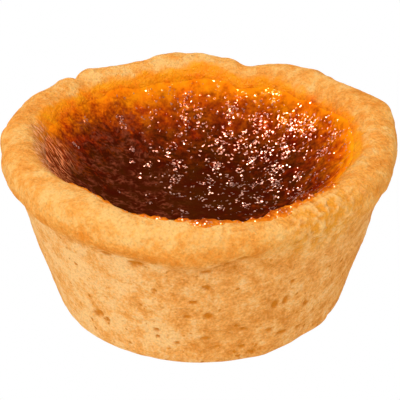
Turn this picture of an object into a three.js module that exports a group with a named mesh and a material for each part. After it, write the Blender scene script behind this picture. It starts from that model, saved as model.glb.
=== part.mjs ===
// A butter tart: a small open tart baked in a muffin tin. A cup of shortcrust pastry with a thick,
// hand-pressed rim holds a caramel filling that sank to a deep bowl while it cooled.
//
// Two solids, one inside the other:
//   pastry_shell   the crust: flat underside, tapering wall, overhanging rim, hollow inside
//   filling        the set caramel: fills the hollow up to its sunken surface
//
// Millimetres, +Z up, origin at the centre of the flat underside. The front is -Y.

import * as THREE from 'three';

const { degToRad, euclideanModulo, lerp, smoothstep } = THREE.MathUtils;

// ---------------------------------------------------------------- driving dimensions

// The tin's cavity: its radii at the bottom and at full depth, and its rounded bottom corner.
const tin = { baseRadius: 27.2, topRadius: 35.0, depth: 27.5, heelRise: 3.0, heelRun: 2.6 };

// The rim: radius of its edge, edge to crest, crest height, and the height where it leaves the wall.
const rim = { reach: 37.2, width: 3.9, height: 34.8, underside: 28.0 };

// The rim's rounding: how far the flare under it leans out, how high its side stands above the
// underside, its outer shoulder, and the roll from the crest down to the filling.
const round = { flare: 2.0, side: 3.4, shoulder: 1.6, shoulderDrop: 0.5, roll: 4.0 };

// The fold under the rim: it lies between two heights, and a share of it is filled out straight.
// At one angle, fading to either side, it is all filled.
const fold = { low: 23.5, high: 31.0, filled: 0.3, goneAt: 309, fullFor: 20, fadedBy: 34 };

// The crust's thickness at the wall and the floor, the hollow's rounded corner, and the height
// below the tin's full depth where the hollow starts to close towards its mouth.
const pastry = { wall: 4.8, floor: 5.0, innerHeel: 5.0, throat: 3.5 };

// The filling's surface: height of its middle, how far its edge lies below the crest, and how
// much of the slope is near the edge.
const well = { floorHeight: 20.5, edgeDrop: 2.6, steepness: 3.1 };

const gap = 0.3; // between the filling and the pastry

const crustSteps = 108; // around the crust
const fillingSteps = 84; // around the filling
const fillingRings = 9; // from the middle of the filling to its edge

// ---------------------------------------------------------------- hand-made unevenness

// Each swell is a smooth change of the crust, strongest at one angle (degrees, counter-clockwise
// from +X) and faded out over `spread` degrees to either side. Amounts are in millimetres:
//   rise    the crest is higher
//   reach   the edge stands out further
//   inset   the crest leans in over the filling
//   sag     the rim's underside hangs lower
//   foot    the bottom corner stands out further
const swells = [
  { at: 14, spread: 12, rise: 0.9, reach: 1.7, inset: 0.3, sag: 0.0, foot: 0.0 },
  { at: 28, spread: 8, rise: 0.4, reach: 0.5, inset: 0.3, sag: 0.0, foot: 0.0 },
  { at: 57, spread: 11, rise: -0.1, reach: 1.3, inset: 0.0, sag: 0.0, foot: 0.0 },
  { at: 73, spread: 5, rise: -1.0, reach: -1.9, inset: 0.0, sag: 0.0, foot: 0.0 },
  { at: 97, spread: 13, rise: 0.4, reach: 0.9, inset: 0.0, sag: 0.0, foot: 0.0 },
  { at: 113, spread: 6, rise: -0.3, reach: -0.5, inset: 0.0, sag: 0.0, foot: 0.0 },
  { at: 126, spread: 5, rise: 0.2, reach: 0.7, inset: 0.0, sag: 0.0, foot: 0.0 },
  { at: 134, spread: 4, rise: -0.5, reach: 0.4, inset: 0.0, sag: 0.0, foot: 0.0 },
  { at: 152, spread: 12, rise: 0.0, reach: 0.7, inset: 0.0, sag: 0.0, foot: 0.0 },
  { at: 175, spread: 8, rise: 0.3, reach: 0.6, inset: 0.0, sag: 0.4, foot: 0.0 },
  { at: 226, spread: 12, rise: 0.1, reach: 0.0, inset: 1.5, sag: 0.0, foot: 0.0 },
  { at: 226, spread: 30, rise: 0.0, reach: 0.0, inset: 0.0, sag: 1.0, foot: 0.0 },
  { at: 260, spread: 18, rise: -0.4, reach: 0.4, inset: -1.1, sag: 0.6, foot: 0.0 },
  { at: 270, spread: 60, rise: 0.0, reach: 0.0, inset: 0.6, sag: 0.0, foot: 0.0 },
  { at: 268, spread: 13, rise: 0.0, reach: 0.2, inset: 0.0, sag: 1.8, foot: 0.3 },
  { at: 284, spread: 8, rise: -0.4, reach: 0.0, inset: -1.6, sag: 0.0, foot: 0.2 },
  { at: 296, spread: 6, rise: 0.0, reach: 0.0, inset: 0.0, sag: 0.0, foot: 0.5 },
  { at: 300, spread: 15, rise: -0.6, reach: 0.0, inset: 0.0, sag: 0.0, foot: 0.0 },
  { at: 307, spread: 13, rise: 0.0, reach: -0.7, inset: -0.2, sag: -0.6, foot: 0.0 },
  { at: 336, spread: 8, rise: 0.0, reach: 0.0, inset: 0.4, sag: 0.0, foot: 0.5 },
];

// Slow waves of the whole wall: how many go round, where the first one peaks, and how high it is.
const waves = [
  { count: 1, peak: 25, size: 0.2 },
  { count: 2, peak: 30, size: 0.15 },
  { count: 5, peak: 110, size: 0.1 },
  { count: 9, peak: 20, size: 0.08 },
];

// Hollows in the filling where bubbles sank, placed from above.
const hollows = [
  { x: 7.5, y: 9.5, radius: 5.5, depth: 0.9 },
  { x: -7.0, y: 4.0, radius: 6.5, depth: 0.6 },
  { x: 15.0, y: -3.0, radius: 5.0, depth: 0.6 },
];

// Degrees from one angle to another, the short way round.
const turnAway = (angle, at) => euclideanModulo(angle - at + 180, 360) - 180;

// Sum of one kind of change over all swells at an angle.
function swell(kind, angle) {
  return swells.reduce((sum, s) => sum + s[kind] * Math.exp(-((turnAway(angle, s.at) / s.spread) ** 2)), 0);
}

function wave(angle) {
  return waves.reduce((sum, w) => sum + w.size * Math.cos(degToRad(w.count * (angle - w.peak))), 0);
}

// ---------------------------------------------------------------- sections

const outerRadius = (z) => lerp(tin.baseRadius, tin.topRadius, z / tin.depth);
const innerRadius = (z) => outerRadius(z) - pastry.wall;

// The rim's key places at an angle: radius of the edge and the crest, height of the top and the underside.
function rimAt(angle) {
  const edge = rim.reach + swell('reach', angle);
  const crest = rim.reach - rim.width + 0.5 * swell('reach', angle) - swell('inset', angle);
  const top = rim.height + swell('rise', angle);
  const underside = rim.underside - swell('sag', angle);
  return { edge, crest, top, underside };
}

// Where the filling's surface meets the crust, on the inner side of the rim.
function mouthAt(angle) {
  const { crest, top } = rimAt(angle);
  return [crest - round.roll, top - well.edgeDrop];
}

// Points along a chain of Bezier stretches, without the last one. A stretch is
// { steps, points }, with two or three [radius, height] control points.
function chain(stretches) {
  const curves = { 2: THREE.LineCurve, 3: THREE.QuadraticBezierCurve };
  return stretches.flatMap(({ steps, points }) => {
    const curve = new curves[points.length](...points.map(([r, z]) => new THREE.Vector2(r, z)));
    return curve.getPoints(steps).slice(0, -1);
  });
}

// The hollow's inner face at an angle, from the mouth down to the floor's flat middle, moved
// inwards and up by a clearance: the crust's inside with none, the filling's outside with the gap.
function hollowFace(angle, clearance) {
  const [mouthRadius, mouthHeight] = mouthAt(angle);
  const mouth = [mouthRadius - clearance, mouthHeight];
  const neck = [mouth[0] - 0.33 * round.roll, mouthHeight - 0.7 * round.roll];
  const throatHeight = tin.depth - pastry.throat;
  const throat = [innerRadius(throatHeight) - clearance, throatHeight];
  const heelHeight = pastry.floor + pastry.innerHeel;
  const heel = [innerRadius(heelHeight) - clearance, heelHeight];
  const floor = pastry.floor + clearance;
  const corner = [innerRadius(pastry.floor) - clearance, floor];
  const floorEdge = [innerRadius(pastry.floor) - pastry.innerHeel, floor];
  return [
    { steps: 3, points: [mouth, neck, throat] },
    { steps: 2, points: [throat, heel] },
    { steps: 3, points: [heel, corner, floorEdge] },
    { steps: 1, points: [floorEdge, [0, floor]] },
  ];
}

// Moves a point under the rim outwards towards a straight line from the wall to the rim's edge, by
// the share of the fold that is filled at the angle.
function filledOut([r, z], angle, edge) {
  const gone = 1 - smoothstep(Math.abs(turnAway(angle, fold.goneAt)), fold.fullFor, fold.fadedBy);
  const start = outerRadius(fold.low) + wave(angle);
  const straight = lerp(start, edge, (z - fold.low) / (fold.high - fold.low));
  return [lerp(r, Math.max(r, straight), lerp(fold.filled, 1, gone)), z];
}

// The crust's section, from the edge of the flat underside up, over the rim and down inside.
function crustSection(angle) {
  const { edge, crest, top, underside } = rimAt(angle);
  const around = wave(angle);
  const bottom = tin.baseRadius + swell('foot', angle);
  const foot = [bottom - tin.heelRun, 0];
  const heel = [outerRadius(tin.heelRise) + around + swell('foot', angle), tin.heelRise];
  const aboveHeel = [outerRadius(2 * tin.heelRise) + around, 2 * tin.heelRise];
  const wallTop = filledOut([outerRadius(underside - 1) + around, underside - 1], angle, edge);
  const turn = filledOut([outerRadius(underside) + around, underside], angle, edge);
  const flare = filledOut([edge - round.flare, underside + 0.2 * round.flare], angle, edge);
  const side = [edge, underside + round.side];
  const cheek = [edge, top - 0.5 * round.shoulder];
  const shoulder = [edge - round.shoulder, top - round.shoulderDrop];
  const brow = [0.5 * (edge + crest), top + 0.2 * round.shoulderDrop];
  const roll = [crest - 0.45 * round.roll, top];
  return chain([
    { steps: 3, points: [foot, [bottom, 0], heel] },
    { steps: 1, points: [heel, aboveHeel] },
    { steps: 4, points: [aboveHeel, wallTop] },
    { steps: 2, points: [wallTop, turn, flare] },
    { steps: 3, points: [flare, [edge, underside + 0.5 * round.side], side] },
    { steps: 3, points: [side, cheek, shoulder] },
    { steps: 3, points: [shoulder, brow, [crest, top]] },
    { steps: 3, points: [[crest, top], roll, mouthAt(angle)] },
    ...hollowFace(angle, 0),
  ]);
}

// Height of the filling's surface, from a bowl that steepens towards its edge and the hollows
// in it. `share` is 0 in the middle and 1 at the edge.
function fillingHeight(share, angle, edgeRadius, edgeHeight) {
  const x = share * edgeRadius * Math.cos(degToRad(angle));
  const y = share * edgeRadius * Math.sin(degToRad(angle));
  const bowl = lerp(well.floorHeight, edgeHeight, share ** well.steepness);
  return hollows.reduce((z, h) => {
    const away = Math.hypot(x - h.x, y - h.y) / h.radius;
    return z - h.depth * Math.exp(-(away ** 2)) * (1 - share ** 4);
  }, bowl);
}

// The filling's section, from the floor out and up to the mouth, and back over its surface.
function fillingSection(angle) {
  const [mouthRadius, mouthHeight] = mouthAt(angle);
  const edgeRadius = mouthRadius - gap;
  const surface = Array.from({ length: fillingRings - 1 }, (_, i) => {
    const share = 1 - (i + 1) / fillingRings;
    return new THREE.Vector2(share * edgeRadius, fillingHeight(share, angle, edgeRadius, mouthHeight));
  });
  return [...chain(hollowFace(angle, gap)).reverse(), ...surface];
}

// ---------------------------------------------------------------- solids

// Turns sections, one for each step around, into a closed body. Each section runs from near the
// axis at one end to near the axis at the other, and a point on the axis closes either end.
function turned(sectionAt, steps, firstHeight, lastHeight) {
  const angles = Array.from({ length: steps }, (_, i) => (360 * i) / steps);
  const sections = angles.map(sectionAt);
  const rows = sections[0].length;
  const positions = sections.flatMap((section, i) => {
    const a = degToRad(angles[i]);
    return section.flatMap((p) => [p.x * Math.cos(a), p.x * Math.sin(a), p.y]);
  });
  positions.push(0, 0, firstHeight, 0, 0, lastHeight);
  const first = steps * rows;
  const last = first + 1;
  const index = [];
  for (let i = 0; i < steps; i += 1) {
    const here = i * rows;
    const next = ((i + 1) % steps) * rows;
    index.push(first, next, here);
    for (let j = 0; j < rows - 1; j += 1) {
      index.push(here + j, next + j, next + j + 1, here + j, next + j + 1, here + j + 1);
    }
    index.push(last, here + rows - 1, next + rows - 1);
  }
  const geometry = new THREE.BufferGeometry();
  geometry.setAttribute('position', new THREE.Float32BufferAttribute(positions, 3));
  geometry.setIndex(index);
  geometry.computeVertexNormals();
  return geometry;
}

function pastryShell() {
  const baked = new THREE.MeshStandardMaterial({ color: 0xe8ae68, roughness: 0.75, metalness: 0 });
  const mesh = new THREE.Mesh(turned(crustSection, crustSteps, 0, pastry.floor), baked);
  mesh.name = 'pastry_shell';
  return mesh;
}

function filling() {
  const caramel = new THREE.MeshStandardMaterial({ color: 0x7a2c0c, roughness: 0.2, metalness: 0 });
  const middle = fillingHeight(0, 0, 1, well.floorHeight);
  const solid = turned(fillingSection, fillingSteps, pastry.floor + gap, middle);
  const mesh = new THREE.Mesh(solid, caramel);
  mesh.name = 'filling';
  return mesh;
}

const tart = new THREE.Group();
tart.add(pastryShell(), filling());

export default tart;
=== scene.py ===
# %% [markdown]
# # A butter tart
# A butter tart is a cup of shortcrust pastry, pressed into a muffin tin by hand, and filled with a
# caramel that puffs up in the oven and sinks to a glossy bowl as it cools. The solids of the tart
# are loaded first, at their real size. Everything made below is laid around them and adds what a
# plain solid can't have: crumb, pits, toasted edges, wrinkles, bubbles and the syrup soaked into the
# pastry. Shapes are worked out in millimetres and turned into metres when they become meshes.

# %% The frame
from math import comb

import bpy
import numpy as np
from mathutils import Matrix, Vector


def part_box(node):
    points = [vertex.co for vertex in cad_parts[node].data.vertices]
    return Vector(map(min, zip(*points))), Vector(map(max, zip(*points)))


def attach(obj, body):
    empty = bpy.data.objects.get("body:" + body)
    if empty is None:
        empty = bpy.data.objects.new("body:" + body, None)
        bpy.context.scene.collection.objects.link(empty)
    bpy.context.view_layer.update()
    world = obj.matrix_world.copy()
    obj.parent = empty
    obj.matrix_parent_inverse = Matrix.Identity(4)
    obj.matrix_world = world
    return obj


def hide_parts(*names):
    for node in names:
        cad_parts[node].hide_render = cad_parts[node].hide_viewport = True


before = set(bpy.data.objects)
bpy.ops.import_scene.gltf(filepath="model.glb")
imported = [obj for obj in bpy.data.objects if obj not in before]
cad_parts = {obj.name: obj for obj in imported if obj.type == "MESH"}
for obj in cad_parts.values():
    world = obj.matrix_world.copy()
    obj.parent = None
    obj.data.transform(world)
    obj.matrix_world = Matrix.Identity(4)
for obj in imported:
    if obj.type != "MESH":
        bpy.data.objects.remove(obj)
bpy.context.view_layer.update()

MM = 0.001  # metres in a millimetre
crust_low, crust_high = (np.array(corner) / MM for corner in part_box("pastry_shell"))
filling_low, filling_high = (np.array(corner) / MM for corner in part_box("filling"))
print("crust", np.round(crust_high - crust_low, 1), "mm, filling", np.round(filling_high - filling_low, 1))

# %% [markdown]
# ## The sizes
# So that the visible surface lies where the solid is, it starts from the same few sizes: the tin's
# taper, the rim's width and height, and a short list of swells that a thumb left in the rim. One
# could trace the solid's mesh instead, but a formula can be sampled as finely as the crumb needs.

# %% Driving sizes, in millimetres
tin = dict(base_radius=27.2, top_radius=35.0, depth=27.5, heel_rise=3.0, heel_run=2.6)
rim = dict(reach=37.2, width=3.9, height=34.8, underside=28.0)
rounding = dict(flare=2.0, side=3.4, shoulder=1.6, shoulder_drop=0.5, roll=4.0)
pastry = dict(wall=4.8, floor=5.0, inner_heel=5.0, throat=3.5)
well = dict(floor_height=20.5, edge_drop=2.6, steepness=3.1)

# The fold under the rim lies between two heights, and a share of it is filled out straight. At one
# angle, fading to either side, it is all filled.
fold = dict(low=23.5, high=31.0, filled=0.3, gone_at=309, full_for=20, faded_by=34)

# Each swell: at which angle (degrees, counter-clockwise from +X), how far it fades to either side,
# and how much the crest rises, the edge reaches out, the crest leans in, the underside sags and
# the bottom corner stands out.
KINDS = ("rise", "reach", "inset", "sag", "foot")
swells = [
    (14, 12, 0.9, 1.7, 0.3, 0.0, 0.0),
    (28, 8, 0.4, 0.5, 0.3, 0.0, 0.0),
    (57, 11, -0.1, 1.3, 0.0, 0.0, 0.0),
    (73, 5, -1.0, -1.9, 0.0, 0.0, 0.0),
    (97, 13, 0.4, 0.9, 0.0, 0.0, 0.0),
    (113, 6, -0.3, -0.5, 0.0, 0.0, 0.0),
    (126, 5, 0.2, 0.7, 0.0, 0.0, 0.0),
    (134, 4, -0.5, 0.4, 0.0, 0.0, 0.0),
    (152, 12, 0.0, 0.7, 0.0, 0.0, 0.0),
    (175, 8, 0.3, 0.6, 0.0, 0.4, 0.0),
    (226, 12, 0.1, 0.0, 1.5, 0.0, 0.0),
    (226, 30, 0.0, 0.0, 0.0, 1.0, 0.0),
    (260, 18, -0.4, 0.4, -1.1, 0.6, 0.0),
    (270, 60, 0.0, 0.0, 0.6, 0.0, 0.0),
    (268, 13, 0.0, 0.2, 0.0, 1.8, 0.3),
    (284, 8, -0.4, 0.0, -1.6, 0.0, 0.2),
    (296, 6, 0.0, 0.0, 0.0, 0.0, 0.5),
    (300, 15, -0.6, 0.0, 0.0, 0.0, 0.0),
    (307, 13, 0.0, -0.7, -0.2, -0.6, 0.0),
    (336, 8, 0.0, 0.0, 0.4, 0.0, 0.5),
]
# Each wave: how many times round, the angle of a peak, and its size.
waves = [(1, 25, 0.2), (2, 30, 0.15), (5, 110, 0.1), (9, 20, 0.08)]
# Each hollow of the filling: x, y, radius and depth.
hollows = [(7.5, 9.5, 5.5, 0.9), (-7.0, 4.0, 6.5, 0.6), (15.0, -3.0, 5.0, 0.6)]


def turn_away(angle, at):
    """Degrees from one angle to another, the short way round, from -180 to 180."""
    return (angle - at + 180) % 360 - 180


def bell(away, spread):
    """A bell curve: exp(-(away / spread) squared), which is 1 in the middle."""
    return np.exp(-((away / spread) ** 2))


def bell_at(angle, at, spread):
    """A bell curve round the rim: 1 at one angle, fading to either side."""
    return bell(turn_away(angle, at), spread)


def swell(kind, angle):
    """Sum over the swells of amount times the bell curve at the swell's angle."""
    amount = 2 + KINDS.index(kind)
    return sum(s[amount] * bell_at(angle, s[0], s[1]) for s in swells)


def wave(angle):
    """Slow waves of the wall: the sum of size times cos(count times degrees from the peak)."""
    return sum(size * np.cos(np.radians(count * (angle - peak))) for count, peak, size in waves)


def outer_radius(z):
    """The tin's straight taper, from the base radius to the top radius."""
    return tin["base_radius"] + (tin["top_radius"] - tin["base_radius"]) * z / tin["depth"]


print(len(swells), "swells; rim height", rim["height"], "mm, solid's top", round(crust_high[2], 1), "mm")

# %% [markdown]
# ## Helpers for unevenness
# Baked things are uneven at every scale, and each scale here is a noise with a known size in
# millimetres. Two kinds are enough. *Noise* gives soft lumps, from random slopes at the corners of a
# grid of cubes. *Cells* scatters one point in each cube and measures the distance to the nearest, which
# makes pits, bubbles and crumbs. Both are written for whole arrays, and their random tables have
# fixed seeds, so that the tart is the same tart every time.

# %% Noise and cells
TABLE = 4096  # entries in the random tables
_rng = np.random.default_rng(7)
SLOPES = _rng.normal(size=(TABLE, 3))
SLOPES /= np.linalg.norm(SLOPES, axis=1, keepdims=True)
JITTER = _rng.random((TABLE, 3))
LUCK = _rng.random(TABLE)


def table_row(cube, seed):
    """A scrambled row number of the random tables for each whole-numbered cube."""
    x, y, z = np.moveaxis(cube, -1, 0)
    mixed = (x * 73856093) ^ (y * 19349663) ^ (z * 83492791) ^ (seed * 40503)
    mixed = (mixed ^ (mixed >> 13)) * 1274126177
    return (mixed ^ (mixed >> 16)) % TABLE


def noise(p, size, seed=0):
    """Soft noise, about -1 to 1: a random slope at each corner of cubes `size` wide, blended between."""
    p = p / size
    cube = np.floor(p).astype(np.int64)
    inside = p - cube
    blend = inside**3 * (inside * (inside * 6 - 15) + 10)
    total = np.zeros(p.shape[:-1])
    for corner in np.ndindex(2, 2, 2):
        side = np.array(corner)
        weight = np.prod(np.where(side == 1, blend, 1 - blend), axis=-1)
        slope = SLOPES[table_row(cube + side, seed)]
        total += weight * np.sum(slope * (inside - side), axis=-1)
    return 1.6 * total


def layered(p, *layers):
    """A sum of noises, each given by its amount, size and seed."""
    return sum(amount * noise(p, size, seed) for amount, size, seed in layers)


def shaken(p, size, seeds):
    """Three noises as a vector, to shift each point by."""
    return np.stack([noise(p, size, seed) for seed in seeds], axis=-1)


def cells(p, size, seed=0):
    """Distance to the nearest scattered point, in cube widths, and that point's own luck from 0 to 1."""
    p = p / size
    cube = np.floor(p).astype(np.int64)
    nearest = np.full(p.shape[:-1], 9.0)
    luck = np.zeros(p.shape[:-1])
    for step in np.ndindex(3, 3, 3):
        neighbour = cube + np.array(step) - 1
        row = table_row(neighbour, seed)
        distance = np.linalg.norm(neighbour + JITTER[row] - p, axis=-1)
        closer = distance < nearest
        nearest = np.where(closer, distance, nearest)
        luck = np.where(closer, LUCK[row], luck)
    return nearest, luck


def ramp(x, low, high):
    """0 below low, 1 above high, and a smooth S between: t squared times (3 - 2t). Low may be above high."""
    t = np.clip((x - low) / (high - low), 0, 1)
    return t * t * (3 - 2 * t)


print("noise tables of", TABLE, "entries")

# %% [markdown]
# ## From a grid to a mesh
# Every piece below is a grid of points closed at its ends. The helper takes the points and the faces
# as arrays, stores any per-point values that the materials read, and shades the result smooth.

# %% Mesh helpers
def make_piece(name, points_mm, faces, values=None):
    """A mesh object at the origin from points in millimetres, faces, and named values per point."""
    mesh = bpy.data.meshes.new(name)
    mesh.from_pydata((points_mm * MM).tolist(), [], faces)
    for label, value in (values or {}).items():
        layer = mesh.attributes.new(label, "FLOAT", "POINT")
        layer.data.foreach_set("value", np.ascontiguousarray(value, dtype=np.float32).ravel())
    mesh.shade_smooth()
    piece = bpy.data.objects.new(name, mesh)
    bpy.context.scene.collection.objects.link(piece)
    triangles = sum(len(face) - 2 for face in faces)
    print(name, "has", len(points_mm), "points and", triangles, "triangles")
    return piece


def turned_faces(rows, around):
    """Faces of a grid that closes round an axis, with one more point at each end: first, then last."""
    here = np.arange(rows * around).reshape(rows, around)
    beside = np.roll(here, -1, axis=1)
    quads = np.stack([here[:-1], beside[:-1], beside[1:], here[1:]], axis=-1).reshape(-1, 4)
    first = np.full(around, rows * around)
    bottom = np.stack([first, beside[0], here[0]], axis=-1)
    top = np.stack([first + 1, here[-1], beside[-1]], axis=-1)
    return quads.tolist() + bottom.tolist() + top.tolist()


def grid_normals(grid, wrap):
    """Unit normals of a grid of points: the cross product of its two directions. `wrap` closes it round."""
    if wrap:
        across = np.roll(grid, -1, axis=1) - np.roll(grid, 1, axis=1)
    else:
        across = np.gradient(grid, axis=1)
    along = np.gradient(grid, axis=0)
    normal = np.cross(across, along)
    return normal / np.maximum(np.linalg.norm(normal, axis=-1, keepdims=True), 1e-9)


# %% [markdown]
# ## The crust's section
# Seen in section, the crust runs from its flat underside round a small heel, up the tapering wall,
# out under the rim, over the crest and down inside. Each stretch is a straight line or a Bezier curve,
# and all its control points are arrays with one entry for each angle, so the whole rim, swells
# included, comes out of one pass.

# %% Section of the crust
def stretch(steps, *points):
    """Bezier curve of [radius, height] points: the sum of comb(n, k) t^k (1-t)^(n-k) times each point."""
    t = (np.arange(steps) / steps)[:, None]
    n = len(points) - 1
    weights = [comb(n, k) * t**k * (1 - t) ** (n - k) for k in range(n + 1)]
    r = sum(w * point[0] for w, point in zip(weights, points))
    z = sum(w * point[1] for w, point in zip(weights, points))
    return np.stack(np.broadcast_arrays(r, z), axis=-1)


def rim_at(angle):
    """Edge radius, crest radius, top height and underside height of the rim at each angle."""
    edge = rim["reach"] + swell("reach", angle)
    crest = rim["reach"] - rim["width"] + 0.5 * swell("reach", angle) - swell("inset", angle)
    return edge, crest, rim["height"] + swell("rise", angle), rim["underside"] - swell("sag", angle)


def mouth_at(angle):
    """Radius and height where the filling's surface meets the crust."""
    _, crest, top, _ = rim_at(angle)
    return crest - rounding["roll"], top - well["edge_drop"]


def filled_out(point, angle, edge):
    """Moves a point under the rim towards the straight line from wall to edge, by the fold's filled share."""
    r, z = point
    gone = 1 - ramp(np.abs(turn_away(angle, fold["gone_at"])), fold["full_for"], fold["faded_by"])
    start = outer_radius(fold["low"]) + wave(angle)
    straight = start + (edge - start) * (z - fold["low"]) / (fold["high"] - fold["low"])
    return r + (fold["filled"] + (1 - fold["filled"]) * gone) * np.maximum(straight - r, 0), z


def crust_section(angle):
    """The section's points for every angle, and the row at which the crest lies."""
    edge, crest, top, underside = rim_at(angle)
    even = np.zeros_like(angle)
    foot_swell = swell("foot", angle)
    bottom = tin["base_radius"] + foot_swell
    foot = (bottom - tin["heel_run"], even)
    heel = (outer_radius(tin["heel_rise"]) + wave(angle) + foot_swell, even + tin["heel_rise"])
    above_heel = (outer_radius(2 * tin["heel_rise"]) + wave(angle), even + 2 * tin["heel_rise"])
    wall_top = filled_out((outer_radius(underside - 1) + wave(angle), underside - 1), angle, edge)
    turn = filled_out((outer_radius(underside) + wave(angle), underside), angle, edge)
    flare = filled_out((edge - rounding["flare"], underside + 0.2 * rounding["flare"]), angle, edge)
    under_side = (edge, underside + 0.5 * rounding["side"])
    side = (edge, underside + rounding["side"])
    cheek = (edge, top - 0.5 * rounding["shoulder"])
    shoulder = (edge - rounding["shoulder"], top - rounding["shoulder_drop"])
    brow = (0.5 * (edge + crest), top + 0.2 * rounding["shoulder_drop"])
    roll = (crest - 0.45 * rounding["roll"], top)
    mouth = mouth_at(angle)
    neck = (mouth[0] - 0.33 * rounding["roll"], mouth[1] - 0.7 * rounding["roll"])
    throat_height = tin["depth"] - pastry["throat"]
    throat = (outer_radius(throat_height) - pastry["wall"] + even, even + throat_height)
    floor_radius = outer_radius(pastry["floor"]) - pastry["wall"] - pastry["inner_heel"]
    floor_edge = (floor_radius + even, even + pastry["floor"])
    outside = [
        stretch(5, (0.15 * foot[0], even), foot),
        stretch(10, foot, (bottom, even), heel),
        stretch(7, heel, above_heel),
        stretch(50, above_heel, wall_top),
        stretch(8, wall_top, turn, flare),
        stretch(9, flare, under_side, side),
        stretch(9, side, cheek, shoulder),
        stretch(9, shoulder, brow, (crest, top)),
    ]
    inside = [
        stretch(15, (crest, top), roll, mouth),
        stretch(12, mouth, neck, throat),
        stretch(4, throat, floor_edge),
    ]
    return np.concatenate(outside + inside), sum(len(part) for part in outside)


def turned(section, angle):
    """Points in space of a section turned round the Z axis."""
    a = np.radians(angle)
    r, z = section[..., 0], section[..., 1]
    return np.stack([r * np.cos(a), r * np.sin(a), z], axis=-1)


CRUST_COLUMNS = 720  # points round the crust: 138 rows of them stay under 200,000 triangles
crust_angles = np.arange(CRUST_COLUMNS) * 360 / CRUST_COLUMNS
section, crest_row = crust_section(crust_angles)
crust_base = turned(section, crust_angles)
crust_normals = grid_normals(crust_base, wrap=True)
steps = np.linalg.norm(np.diff(section, axis=0, prepend=section[:1]), axis=-1)
travelled = np.cumsum(steps, axis=0)
inward = travelled - travelled[crest_row]  # mm past the crest, along the section: negative outside
print("crust grid", crust_base.shape[:2], "reaches", np.round(section[..., 0].max(), 1), "mm from the axis")

# %% [markdown]
# ## The crust's relief
# Shortcrust is pressed by hand, so the rim has thumb-sized lumps. The wall was cast by the tin and is
# smoother, with a sandy grain and pits where fat melted away. Where the rim was patched at the front
# right it is crumbly. Each of these is a height in millimetres, and their sum moves every point along
# its normal. The pits and the crumbly patch are kept as masks too, because their colour also differs.

# %% Relief of the crust
height_up = crust_base[..., 2]
around_angle = np.broadcast_to(crust_angles, height_up.shape)
on_rim = ramp(height_up, rim["underside"] - 1.5, rim["underside"] + 1.5)
above_floor = ramp(height_up, 0.0, 1.6)
outside_face = ramp(inward, 6.0, 4.0)

# Pits that stand out: angle, height, half width and half height, all on the outer face.
pits = [
    (296, 14.2, 0.9, 1.3), (300, 14.5, 0.7, 1.2), (302, 5.8, 1.4, 0.7), (286, 9.0, 1.0, 0.6),
    (272, 20.8, 0.9, 0.6), (290, 2.8, 0.8, 0.6), (232, 9.5, 1.0, 0.8), (235, 8.3, 0.6, 0.7),
    (268, 17.0, 0.9, 0.5), (255, 9.2, 0.7, 0.6), (266, 13.2, 0.8, 0.5), (310, 11.5, 0.8, 0.8),
    (242, 26.6, 1.3, 0.6), (251, 25.8, 1.6, 0.5), (272, 24.6, 1.2, 0.5), (278, 26.8, 0.7, 0.7),
    (273, 13.5, 0.9, 0.9), (272, 7.5, 1.2, 0.5), (283, 10.2, 0.4, 0.5), (286, 4.6, 0.7, 0.5),
    (296, 7.6, 0.9, 0.6), (255, 7.4, 0.5, 0.5), (262, 6.2, 0.6, 0.4), (256, 19.5, 0.6, 0.5),
    (301, 19.2, 0.7, 0.5), (310, 5.4, 0.8, 0.5), (300, 33.1, 0.8, 0.5), (297, 33.4, 0.7, 0.4),
    (302.5, 30.2, 1.2, 0.9), (298.5, 29.4, 0.9, 0.5), (310.5, 33.8, 0.5, 0.7), (308, 34.2, 0.5, 0.6),
    (306, 33.0, 0.6, 0.6), (318, 34.0, 0.5, 0.6), (238.5, 27.3, 1.2, 0.4), (230, 8.8, 0.9, 0.6),
    (282, 28.4, 1.3, 0.5),
]

# Knocks that bend the outline: angle, height, spread in degrees, half height, and mm outwards.
knocks = [
    (9, 33, 3, 5, -0.4), (19, 33, 5, 5, 0.45), (35, 33, 6, 5, 0.4), (44, 33, 4, 5, 0.35),
    (50, 33, 3, 5, 0.55), (66, 33, 4.5, 5, -0.6), (83, 33, 3.5, 5, -0.4), (97, 33, 3, 5, 0.3),
    (108, 33, 3, 5, -0.4),
    (129, 33, 3, 5, 0.55), (134, 33, 1.6, 5, -0.5), (138, 33, 3, 5, 0.6), (151, 33, 4, 5, 0.35),
    (164, 33, 4, 5, 0.25), (173.5, 33, 2, 5, -0.4), (177, 33, 3, 5, 0.35), (192, 31.5, 5, 4, 0.5),
    (201, 31, 4, 4, 0.45), (211, 30, 3, 4, -0.2), (194, 15.5, 7, 3.5, 0.3), (194, 7, 7, 3, 0.15),
    (317, 1, 4, 3.5, -0.8), (334.5, 2, 3.5, 3, -0.9), (340, 3, 3, 2.5, -0.3), (330, 3.7, 2.2, 0.9, -0.7),
    (335.5, 4.6, 2.4, 1.1, 0.35), (343, 17.5, 7, 5, 0.28), (344, 23.6, 5, 1.8, -0.75),
]
PATCH = dict(at=309, spread=14, low=23.0, high=28.5)  # where the rim was patched and is crumbly


def knocked(angle, z):
    """Sum over the knocks of mm times one bell curve round the crust and one up it."""
    return sum(
        out * bell_at(angle, at, spread) * bell(z - height, half_height)
        for at, height, spread, half_height, out in knocks
    )


def placed_pits(angle, z):
    """The deepest of the placed pits at each point, each one a bell curve sideways and one up."""
    depth = np.zeros_like(z)
    for at, height, half_width, half_height in pits:
        sideways = np.radians(turn_away(angle, at)) * outer_radius(height)
        depth = np.maximum(depth, bell(sideways, half_width) * bell(z - height, half_height))
    return depth


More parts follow.
